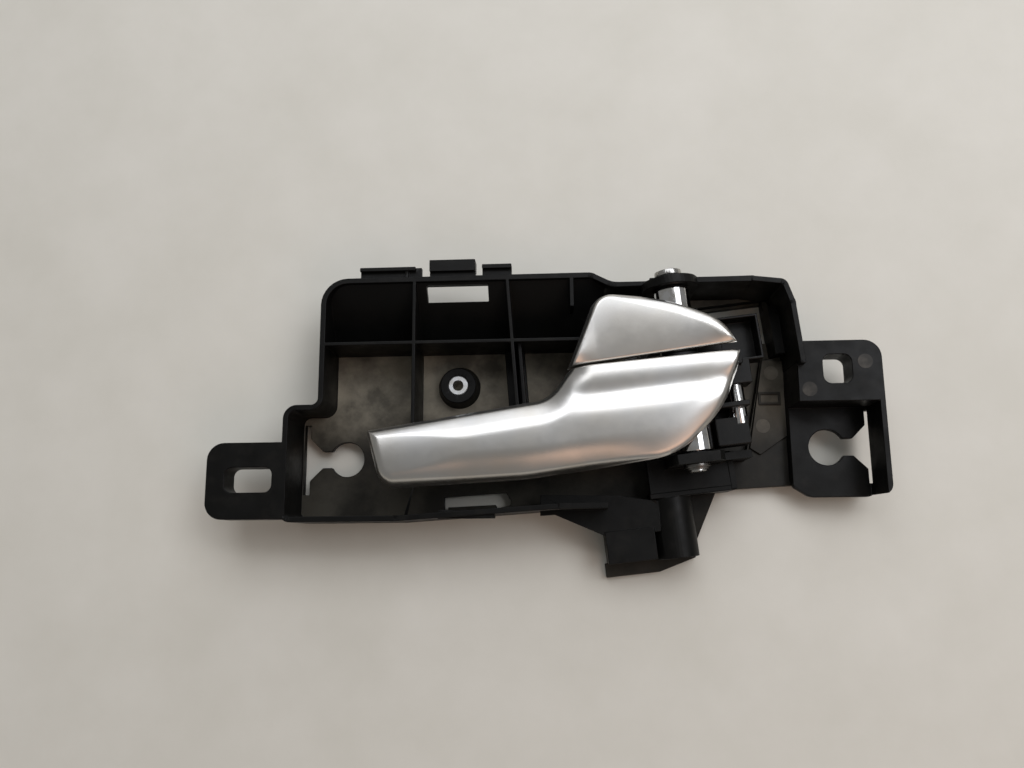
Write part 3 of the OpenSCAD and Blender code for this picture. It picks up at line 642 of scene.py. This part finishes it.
@dataclass
class LeverShell:
    """A plated lever: crowned face, rolled edge, thin land at the foot and a hollow back.

    Attributes:
        name: Name of the piece.
        node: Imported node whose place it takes.
        body: Body that carries it.
        outline: Corners of the plan in the pivot frame; the last side is the split edge.
        radii: Radius of the plan at each corner.
        scooped: Whether a shallow scoop runs along the split edge.
        dome_mm: Distance from the edge over which the face domes.
        crown_mm: How much the middle of the width stands above its ends.
        lean_mm: How much lower the face lies at its side of least y.
        screws: Places of the screw bosses.
        rows: Grid points along x.
        cols: Grid points across.
        even_share: How evenly the grid is spaced, against closer at its ends.
        end_gap_mm: Distance of the grid's first and last row from the plan's ends.
        round_steps: Chords in each round of the plan.
        least_round_mm: Least radius of the inner plan.
        wall_mm: Thickness of the wall.
        edge_mm: Height of the edge left of the barrels.
        barrel_mm: Height of the edge over the barrels.
        barrel_ramp_mm: Places along x where the edge begins and ends to rise.
        height_mm: Rise of the face over the low edge, without the crown.
        lip_mm: Width of the small round at the very edge.
        land_mm: Height of the upright land at the foot.
        side_mm: Width of the rolled side.
        side_share: Share of the rise that the rolled side takes up.
        end_mm: Length over which the left end rises faster.
        end_haste: How much faster it rises at the very end.
        scoop_mm: Depth of the scoop.
        scoop_ramp_mm: Places along x where the scoop begins and is full.
        scoop_y_mm: Middle of the scoop along the pin.
        scoop_half_mm: Half width of the scoop.
        split_round_mm: Radius along the split edge.
        boss_mm: Radius of the screw bosses.
        boss_foot_mm: Height of the bosses' foot over the low edge.
        boss_sides: Sides of a boss.
        smooth_deg: Angle up to which faces are shaded as one.
    """

    name: str
    node: str
    body: Body
    outline: list[tuple[float, float]]
    radii: list[float]
    scooped: bool
    dome_mm: float = 8.5
    crown_mm: float = 1.2
    lean_mm: float = 0.0
    screws: list[tuple[float, float]] = field(default_factory=list)
    rows: int = 190
    cols: int = 80
    even_share: float = 0.35
    end_gap_mm: float = 0.03
    round_steps: int = 24
    least_round_mm: float = 0.2
    wall_mm: float = 1.4
    edge_mm: float = 0.8
    barrel_mm: float = 5.7
    barrel_ramp_mm: tuple[float, float] = (-32.0, -8.0)
    height_mm: float = 7.4
    lip_mm: float = 0.35
    land_mm: float = 0.9
    side_mm: float = 1.6
    side_share: float = 0.5
    end_mm: float = 30.0
    end_haste: float = 1.3
    scoop_mm: float = 1.0
    scoop_ramp_mm: tuple[float, float] = (-52.0, -22.0)
    scoop_y_mm: float = -1.5
    scoop_half_mm: float = 3.4
    split_round_mm: float = 0.7
    boss_mm: float = 2.6
    boss_foot_mm: float = 2.02
    boss_sides: int = 28
    smooth_deg: float = 50.0

    def edge_at(self, x: np.ndarray) -> np.ndarray:
        """Height of the lever's edge, which rises over the barrels."""
        start, stop = self.barrel_ramp_mm
        return self.edge_mm + (self.barrel_mm - self.edge_mm) * ease((x - start) / (stop - start))

    def face(self, chain: np.ndarray, x: np.ndarray, y: np.ndarray, across: np.ndarray) -> np.ndarray:
        """Height of the outer or inner face over points of the plan.

        Args:
            chain: Rounded outline whose last edge is the split edge.
            x: Plan positions to the right.
            y: Plan positions along the pin.
            across: Share of the width, from minus one to one.

        Returns:
            Heights above the pin's middle.
        """
        foot = self.edge_at(x)
        rise = self.edge_mm + self.height_mm - foot - self.land_mm
        first, last = chain[0], chain[-1]
        along = (first - last) / np.linalg.norm(first - last)
        split = np.abs(along[0] * (y - last[1]) - along[1] * (x - last[0]))
        inward = reach(chain, x, y)
        side = quarter((inward - self.lip_mm) / self.side_mm)
        haste = 1 + self.end_haste * (1 - ease((x - chain[:, 0].min()) / self.end_mm))
        dome = 1 - (1 - np.clip(inward * haste / self.dome_mm, 0, 1)) ** 2
        lip = self.land_mm * (0.5 + 0.5 * quarter(inward / self.lip_mm))
        height = foot + lip + rise * (self.side_share * side + (1 - self.side_share) * dome)
        height += self.crown_mm * (1 - across ** 2) - self.lean_mm * (1 - across) / 2
        if self.scooped:
            start, stop = self.scoop_ramp_mm
            begun = ease((x - start) / (stop - start))
            height -= self.scoop_mm * begun * np.exp(-((y - self.scoop_y_mm) / self.scoop_half_mm) ** 2)
        return height - self.split_round_mm * (1 - quarter(split / self.split_round_mm))

    def spread(self, count: int) -> np.ndarray:
        """Shares from zero to one that lie closer together at both ends."""
        t = np.linspace(0, 1, count)
        return self.even_share * t + (1 - self.even_share) * (1 - np.cos(math.pi * t)) / 2

    def grid(self, chain: np.ndarray, depth: float) -> np.ndarray:
        """Lays a grid of points over an outline.

        Args:
            chain: Rounded outline whose last edge is the split edge.
            depth: How far the grid lies under the outer face, zero for that face itself.

        Returns:
            Points in the pivot frame, as rows of columns.
        """
        low, high = chain[:, 0].min() + self.end_gap_mm, chain[:, 0].max() - self.end_gap_mm
        xs = low + (high - low) * self.spread(self.rows)
        v = self.spread(self.cols)
        x = np.repeat(xs[:, None], self.cols, axis=1)
        ends = np.array([span(chain, value) for value in xs])
        y = ends[:, :1] + (ends[:, 1:] - ends[:, :1]) * v[None, :]
        z = self.face(chain, x, y, np.repeat(2 * v[None, :] - 1, self.rows, axis=0)) - depth
        edge = self.edge_at(x)
        if depth > 0:
            z = np.maximum(z, edge)
            z[0], z[-1], z[:, 0], z[:, -1] = edge[0], edge[-1], edge[:, 0], edge[:, -1]
        else:
            z = np.maximum(z, edge + self.land_mm / 2)
        return np.stack([x, y, z], axis=-1)

    def border(self) -> list[int]:
        """Indices round the border of a grid, in order."""
        rows, cols = self.rows, self.cols
        return (list(range(cols)) + [i * cols + cols - 1 for i in range(1, rows)]
                + [(rows - 1) * cols + j for j in range(cols - 2, -1, -1)]
                + [i * cols for i in range(rows - 2, 0, -1)])

    def mesh(self) -> bpy.types.Mesh:
        """Makes the closed shell with its screw bosses."""
        chain = rounded(self.outline, self.radii, self.round_steps)
        turns = [self.turn_at(k) for k in range(len(self.outline))]
        inner_radii = [0 if r == 0 else max(self.least_round_mm, r - self.wall_mm * turn)
                       for r, turn in zip(self.radii, turns)]
        inner = rounded(inset(self.outline, self.wall_mm), inner_radii, self.round_steps)
        outer_grid = self.grid(chain, 0.0).reshape(-1, 3)
        inner_grid = self.grid(inner, self.wall_mm).reshape(-1, 3)
        loop = self.border()
        rim = outer_grid[loop].copy()
        rim[:, 2] = self.edge_at(rim[:, 0])
        base, under = len(outer_grid), len(outer_grid) + len(rim)
        faces: list[tuple[int, ...]] = []
        for i in range(self.rows - 1):
            for j in range(self.cols - 1):
                a = i * self.cols + j
                ring = (a, a + 1, a + self.cols + 1, a + self.cols)
                faces.append(tuple(reversed(ring)))
                faces.append(tuple(k + under for k in ring))
        for k, corner in enumerate(loop):
            after = (k + 1) % len(loop)
            faces.append((corner, loop[after], base + after, base + k))
            faces.append((base + k, base + after, under + loop[after], under + corner))
        mesh = bpy.data.meshes.new(self.name)
        points = np.concatenate([outer_grid, rim, inner_grid])
        mesh.from_pydata([tuple(map(float, p)) for p in points], [], faces)
        shape = bmesh.new()
        shape.from_mesh(mesh)
        foot = self.edge_mm + self.boss_foot_mm
        for x, y in self.screws:
            low, high = span(chain, x)
            across = np.array([2 * (y - low) / (high - low) - 1])
            face = float(self.face(chain, np.array([x]), np.array([y]), across)[0])
            depth = face - self.wall_mm / 2 - foot
            boss = bmesh.ops.create_cone(shape, cap_ends=True, segments=self.boss_sides,
                                         radius1=self.boss_mm, radius2=self.boss_mm, depth=depth)
            bmesh.ops.translate(shape, verts=boss["verts"], vec=(x, y, foot + depth / 2))
        bmesh.ops.transform(shape, matrix=PIVOT.matrix(), verts=shape.verts)
        bmesh.ops.recalc_face_normals(shape, faces=shape.faces)
        shape.to_mesh(mesh)
        shape.free()
        return mesh

    def turn_at(self, k: int) -> int:
        """Sense of a corner: one where the outline is convex, minus one where it is hollow."""
        count = len(self.outline)
        before, here, after = (np.array(self.outline[j % count]) for j in (k - 1, k, k + 1))
        u, v = here - before, after - here
        return 1 if u[0] * v[1] - u[1] * v[0] > 0 else -1

    def build(self) -> bpy.types.Object:
        """Builds the lever, dresses it and puts it in its node's place."""
        piece = new_object(self.name, self.mesh())
        smooth_by_angle(piece.data, self.smooth_deg)
        place_on(piece, SILVER, self.body)
        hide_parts(self.node)
        return piece


@dataclass
class ReturnSpring:
    """Torsion spring round the pin, swept along a spiral by Geometry Nodes.

    Attributes:
        name: Name of the piece.
        coil_mm: Radius of the coils, to the wire's middle.
        wire_mm: Radius of the wire.
        start_mm: Place along the pin where the coils begin.
        end_mm: Place along the pin where they end.
        turns: Number of coils.
        steps: Chords in one coil.
        wire_sides: Sides of the wire.
    """

    name: str = "return_spring"
    coil_mm: float = 4.5
    wire_mm: float = 0.7
    start_mm: float = -6.2
    end_mm: float = 1.6
    turns: float = 6.0
    steps: int = 32
    wire_sides: int = 14

    def tree(self) -> Tree:
        """Node tree that sweeps a round wire along a spiral."""
        tree = bpy.data.node_groups.new("spring_wire", "GeometryNodeTree")
        tree.interface.new_socket("Geometry", in_out="OUTPUT", socket_type="NodeSocketGeometry")
        for title in ("Coil radius", "Wire radius", "Height", "Turns"):
            tree.interface.new_socket(title, in_out="INPUT", socket_type="NodeSocketFloat")
        given = add(tree, "NodeGroupInput").outputs
        spiral = add(tree, "GeometryNodeCurveSpiral", {"Resolution": self.steps},
                     {"Rotations": given["Turns"], "Start Radius": given["Coil radius"],
                      "End Radius": given["Coil radius"], "Height": given["Height"]})
        wire = add(tree, "GeometryNodeCurvePrimitiveCircle", {"Resolution": self.wire_sides},
                   {"Radius": given["Wire radius"]})
        swept = add(tree, "GeometryNodeCurveToMesh", {"Fill Caps": True},
                    {"Curve": spiral.outputs["Curve"], "Profile Curve": wire.outputs["Curve"]})
        smooth = add(tree, "GeometryNodeSetShadeSmooth", links={"Geometry": swept.outputs["Mesh"]})
        real = add(tree, "GeometryNodeRealizeInstances", links={"Geometry": smooth.outputs["Geometry"]})
        coated = add(tree, "GeometryNodeSetMaterial", {"Material": SPRING_STEEL.material()},
                     {"Geometry": real.outputs["Geometry"]})
        add(tree, "NodeGroupOutput", links={"Geometry": coated.outputs["Geometry"]})
        return tree

    def build(self) -> bpy.types.Object:
        """Builds the spring along the pin and puts it in its node's place."""
        piece = grown(self.name, self.tree(), {
            "Coil radius": self.coil_mm * MM, "Wire radius": self.wire_mm * MM,
            "Height": (self.end_mm - self.start_mm) * MM, "Turns": self.turns})
        lay = (PIVOT.matrix() @ Matrix.Translation(Vector((0, self.start_mm, 0)))
               @ Matrix.Rotation(math.radians(-90), 4, "X") @ Matrix.Scale(1 / MM, 4))
        piece.data.transform(lay)
        place_on(piece, SPRING_STEEL, Body.PULL)
        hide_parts("pull_spring")
        return piece


def grown(name: str, tree: Tree, sizes: dict[str, float],
          points: Iterable[tuple[float, float, float]] = ()) -> bpy.types.Object:
    """Runs a Geometry Nodes tree and keeps its result as a plain mesh.

    Args:
        name: Name of the piece.
        tree: Geometry Nodes tree with named inputs.
        sizes: Input values by name.
        points: Places, in metres, that the tree gets as loose vertices.

    Returns:
        Object with the grown mesh and no modifier.
    """
    mesh = bpy.data.meshes.new(name)
    mesh.from_pydata(list(points), [], [])
    piece = new_object(name, mesh)
    modifier = piece.modifiers.new("grow", "NODES")
    modifier.node_group = tree
    for item in tree.interface.items_tree:
        if item.item_type == "SOCKET" and item.in_out == "INPUT" and item.name in sizes:
            modifier[item.identifier] = sizes[item.name]
    return applied(piece)


@dataclass
class EjectorMarks:
    """Pale round faces that the tool's ejector pins left, set out on points by Geometry Nodes.

    Attributes:
        name: Name of the piece.
        radius_mm: Radius of a face.
        places_mm: Middles of the faces.
        depth_mm: Thickness of the discs, half of which is sunk in the moulding.
        sides: Sides of a disc.
    """

    name: str
    radius_mm: float
    places_mm: list[tuple[float, float, float]]
    depth_mm: float = 0.12
    sides: int = 64

    def tree(self) -> Tree:
        """Node tree that sets a thin disc on every point."""
        tree = bpy.data.node_groups.new(self.name, "GeometryNodeTree")
        tree.interface.new_socket("Geometry", in_out="OUTPUT", socket_type="NodeSocketGeometry")
        tree.interface.new_socket("Geometry", in_out="INPUT", socket_type="NodeSocketGeometry")
        for title in ("Disc radius", "Disc depth"):
            tree.interface.new_socket(title, in_out="INPUT", socket_type="NodeSocketFloat")
        given = add(tree, "NodeGroupInput").outputs
        disc = add(tree, "GeometryNodeMeshCylinder", {"Vertices": self.sides},
                   {"Radius": given["Disc radius"], "Depth": given["Disc depth"]})
        points = add(tree, "GeometryNodeMeshToPoints", links={"Mesh": given["Geometry"]})
        spots = add(tree, "GeometryNodeInstanceOnPoints",
                    links={"Points": points.outputs["Points"], "Instance": disc.outputs["Mesh"]})
        real = add(tree, "GeometryNodeRealizeInstances", links={"Geometry": spots.outputs["Instances"]})
        coated = add(tree, "GeometryNodeSetMaterial", {"Material": EJECTED.material()},
                     {"Geometry": real.outputs["Geometry"]})
        add(tree, "NodeGroupOutput", links={"Geometry": coated.outputs["Geometry"]})
        return tree

    def build(self) -> bpy.types.Object:
        """Builds the discs, half sunk in the moulding."""
        sizes = {"Disc radius": self.radius_mm * MM, "Disc depth": self.depth_mm * MM}
        points = [tuple(v * MM for v in place) for place in self.places_mm]
        piece = grown(self.name, self.tree(), sizes, points)
        return place_on(piece, EJECTED, Body.CARRIER)


@dataclass
class RaisedKey:
    """Small raised frame on the right floor.

    Attributes:
        corner_mm: Its lower left corner.
        size_mm: Its length and width.
        floor_mm: Height of the floor that it stands on.
        rise_mm: Its height over that floor.
        sunk_mm: How deep it reaches into the floor.
        wall_mm: Width of its four walls.
        edge_mm: Width of its broken edges.
        segments: Faces across a broken edge.
    """

    corner_mm: tuple[float, float] = (90.9, -7.0)
    size_mm: tuple[float, float] = (6.6, 3.9)
    floor_mm: float = -4.0
    rise_mm: float = 0.45
    sunk_mm: float = 0.1
    wall_mm: float = 0.7
    edge_mm: float = 0.12
    segments: int = 2

    def build(self) -> bpy.types.Object:
        """Builds the frame as one closed mesh."""
        (x, y), (w, h), t = self.corner_mm, self.size_mm, self.wall_mm
        outer = [(x, y), (x + w, y), (x + w, y + h), (x, y + h)]
        inner = [(x + t, y + t), (x + w - t, y + t), (x + w - t, y + h - t), (x + t, y + h - t)]
        heights = (self.floor_mm - self.sunk_mm, self.floor_mm + self.rise_mm)
        points = [(px * MM, py * MM, z * MM)
                  for z in heights for ring in (outer, inner) for px, py in ring]
        faces = []  # The points are rings of four: outer and inner below, then above.
        for k in range(4):
            after = (k + 1) % 4
            faces += [(k, after, 8 + after, 8 + k), (4 + after, 4 + k, 12 + k, 12 + after),
                      (8 + k, 8 + after, 12 + after, 12 + k), (after, k, 4 + k, 4 + after)]
        mesh = bpy.data.meshes.new("raised_key")
        mesh.from_pydata(points, [], faces)
        piece = new_object("raised_key", mesh)
        bevel = piece.modifiers.new("edge", "BEVEL")
        bevel.width = self.edge_mm * MM
        bevel.segments = self.segments
        applied(piece)
        return place_on(piece, NYLON, Body.CARRIER)


@dataclass
class Mechanism:
    """Barrels, pin, cranks, bushes, screws and stops that the levers turn on."""

    def solids(self) -> Iterable[RefinedSolid]:
        """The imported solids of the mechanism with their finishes."""
        carrier, pull, lock = Body.CARRIER, Body.PULL, Body.LOCK
        yield RefinedSolid("pull_crank", pull, ACETAL, edge_mm=0.3)
        yield RefinedSolid("lock_crank", lock, ACETAL, edge_mm=0.3)
        yield RefinedSolid("pull_barrel", pull, CHROME, edge_mm=0.25)
        yield RefinedSolid("lock_barrel", lock, CHROME, edge_mm=0.25)
        yield RefinedSolid("pivot_pin", carrier, PIN_STEEL, edge_mm=0.2)
        yield RefinedSolid("pin_retainer", carrier, SPRING_STEEL, edge_mm=0.15)
        yield RefinedSolid("ear_bushes", carrier, BUSH, edge_mm=0.15)
        yield RefinedSolid("hub_washer", carrier, BUSH, edge_mm=0.1)
        yield RefinedSolid("spring_sleeve", carrier, BUSH, edge_mm=0.1)
        yield RefinedSolid("cable_pin", pull, CHROME, edge_mm=0.2)
        yield RefinedSolid("grip_screws", pull, SCREW_STEEL, edge_mm=0.2)
        yield RefinedSolid("lock_screw", lock, SCREW_STEEL, edge_mm=0.2)
        yield RefinedSolid("lock_detent", carrier, SPRING_STEEL, edge_mm=0.08)
        yield RefinedSolid("detent_rivet", carrier, SCREW_STEEL, edge_mm=0.15)
        yield RefinedSolid("grip_buffer", carrier, RUBBER, edge_mm=0.3)
        yield RefinedSolid("lock_buffer", carrier, RUBBER, edge_mm=0.3)

    def build(self) -> list[bpy.types.Object]:
        """Builds every piece of the mechanism."""
        return [solid.build() for solid in self.solids()] + [ReturnSpring().build()]


@dataclass
class Carrier:
    """The black moulded carrier with its threaded insert, ejector faces and raised key."""

    def build(self) -> list[bpy.types.Object]:
        """Builds the moulding, its insert and the two details on it."""
        return [RefinedSolid("carrier_frame", Body.CARRIER, NYLON, edge_mm=0.2).build(),
                RefinedSolid("threaded_insert", Body.CARRIER, INSERT, edge_mm=0.35).build(),
                EjectorMarks("ejector_faces", radius_mm=2.1,
                             places_mm=[(95.2, 2.8, -4.0), (91.8, -13.4, -4.0),
                                        (118.0, 2.8, 11.5), (101.9, -5.0, 11.5)]).build(),
                RaisedKey().build()]


@dataclass
class Levers:
    """The long pull lever and the small lock lever above it."""

    def build(self) -> list[bpy.types.Object]:
        """Builds both levers."""
        pull = LeverShell("pull_lever_face", "pull_grip", Body.PULL,
                          [(-32.6, 7), (-39.2, -0.4), (-92.1, -3.1), (-89.6, -20.2), (-48, -22.4),
                           (-5.5, -21.1), (8.6, -9.4), (14.6, 2.2), (15.4, 6.3)],
                          [0, 9, 1, 6, 60, 22, 28, 18, 0], True,
                          screws=[(-27, -9.5), (-27, 0.5)])
        lock = LeverShell("lock_lever_face", "lock_cover", Body.LOCK,
                          [(15.2, 8.6), (12.4, 15.5), (-1.1, 22.6), (-21.9, 28.5), (-32.8, 7.5)],
                          [0, 14, 40, 6.3, 0], False, dome_mm=3.6, crown_mm=0.6, lean_mm=1.4,
                          screws=[(-15, 13)])
        return [pull.build(), lock.build()]


@dataclass
class PhotoCamera:
    """Camera at the photograph's viewing angle.

    Attributes:
        eye_mm: Its place.
        right: Direction of the picture's right side.
        back: Direction from the picture to the viewer.
        lens_mm: Focal length.
        sensor_mm: Width of the sensor.
        near_m: Distance from which things are drawn.
    """

    eye_mm: tuple[float, float, float] = (30.15, -47.19, 253.66)
    right: tuple[float, float, float] = (0.9984, -0.0085, -0.0554)
    back: tuple[float, float, float] = (0.0529, -0.1832, 0.9816)
    lens_mm: float = 29.88
    sensor_mm: float = 36.0
    near_m: float = 0.01

    def build(self) -> None:
        """Creates the camera and makes it the scene's."""
        data = bpy.data.cameras.new("photo_camera")
        data.lens = self.lens_mm
        data.sensor_width = self.sensor_mm
        data.clip_start = self.near_m
        camera = bpy.data.objects.new("photo_camera", data)
        bpy.context.scene.collection.objects.link(camera)
        back = Vector(self.back).normalized()
        right = (Vector(self.right) - back * Vector(self.right).dot(back)).normalized()
        up = back.cross(right)
        turn = Matrix((right, up, back)).transposed().to_4x4()
        camera.matrix_world = Matrix.Translation(Vector(self.eye_mm) * MM) @ turn
        bpy.context.scene.camera = camera


@dataclass(frozen=True)
class Lamp:
    """Rectangular lamp that looks at the middle of the handle, in metres and watts."""

    name: str
    place_m: tuple[float, float, float]
    size_m: tuple[float, float]
    watts: float
    colour: str = "#f8faff"
    aim_m: tuple[float, float, float] = (0.03, 0.0, 0.0)

    def build(self) -> None:
        """Creates the lamp and turns it to its aim."""
        data = bpy.data.lights.new(self.name, "AREA")
        data.shape = "RECTANGLE"
        data.size, data.size_y = self.size_m
        data.energy = self.watts
        data.color = linear(self.colour)[:3]
        lamp = bpy.data.objects.new(self.name, data)
        bpy.context.scene.collection.objects.link(lamp)
        aim = Vector(self.aim_m) - Vector(self.place_m)
        turn = aim.to_track_quat("-Z", "Y").to_matrix().to_4x4()
        lamp.matrix_world = Matrix.Translation(self.place_m) @ turn


@dataclass
class Studio:
    """Plain pale table in a dim room, with three cool lamps and a weak warm one.

    Attributes:
        table_mm: Height of the table top.
        table_m: Side of the table.
        lamps: The lamps.
        room: Strength of the room's own light.
        room_colour: Its colour.
    """

    table_mm: float = -9.0
    table_m: float = 6.0
    lamps: tuple[Lamp, ...] = (
        Lamp("ceiling_light", (0.14, 0.62, 0.87), (1.16, 0.6), 6.6),
        Lamp("wall_light", (0.2, 1.05, 0.42), (1.1, 0.5), 3.0),
        Lamp("side_light", (0.6, 0.2, 0.86), (0.5, 0.5), 3.2),
        Lamp("warm_light", (0.45, -0.55, 0.65), (0.7, 0.5), 1.1, "#ffcdae"),
    )
    room: float = 0.26
    room_colour: str = "#f3f2ef"

    def build(self) -> None:
        """Builds the table, the lamps and the room's light."""
        bpy.ops.mesh.primitive_plane_add(size=self.table_m, location=(0, 0, self.table_mm * MM))
        table = bpy.context.object
        table.name = "table_top"
        table.data.transform(table.matrix_world)
        table.matrix_world = Matrix.Identity(4)
        table.data.materials.append(PaleTable().material())
        for lamp in self.lamps:
            lamp.build()
        world = bpy.data.worlds.new("room")
        world.use_nodes = True
        light = world.node_tree.nodes["Background"].inputs
        light["Color"].default_value = linear(self.room_colour)
        light["Strength"].default_value = self.room
        bpy.context.scene.world = world
        bpy.context.scene.view_settings.view_transform = "Standard"


def main() -> None:
    """Builds the camera, the studio and every sub-assembly in order."""
    logging.basicConfig(level=logging.INFO, format="%(name)s: %(message)s")
    PhotoCamera().build()
    Studio().build()
    for assembly in (Carrier(), Mechanism(), Levers()):
        for piece in assembly.build():
            log.info("%s: %s has %d faces", type(assembly).__name__, piece.name,
                     len(piece.data.polygons))


if __name__ == "__main__":
    main()
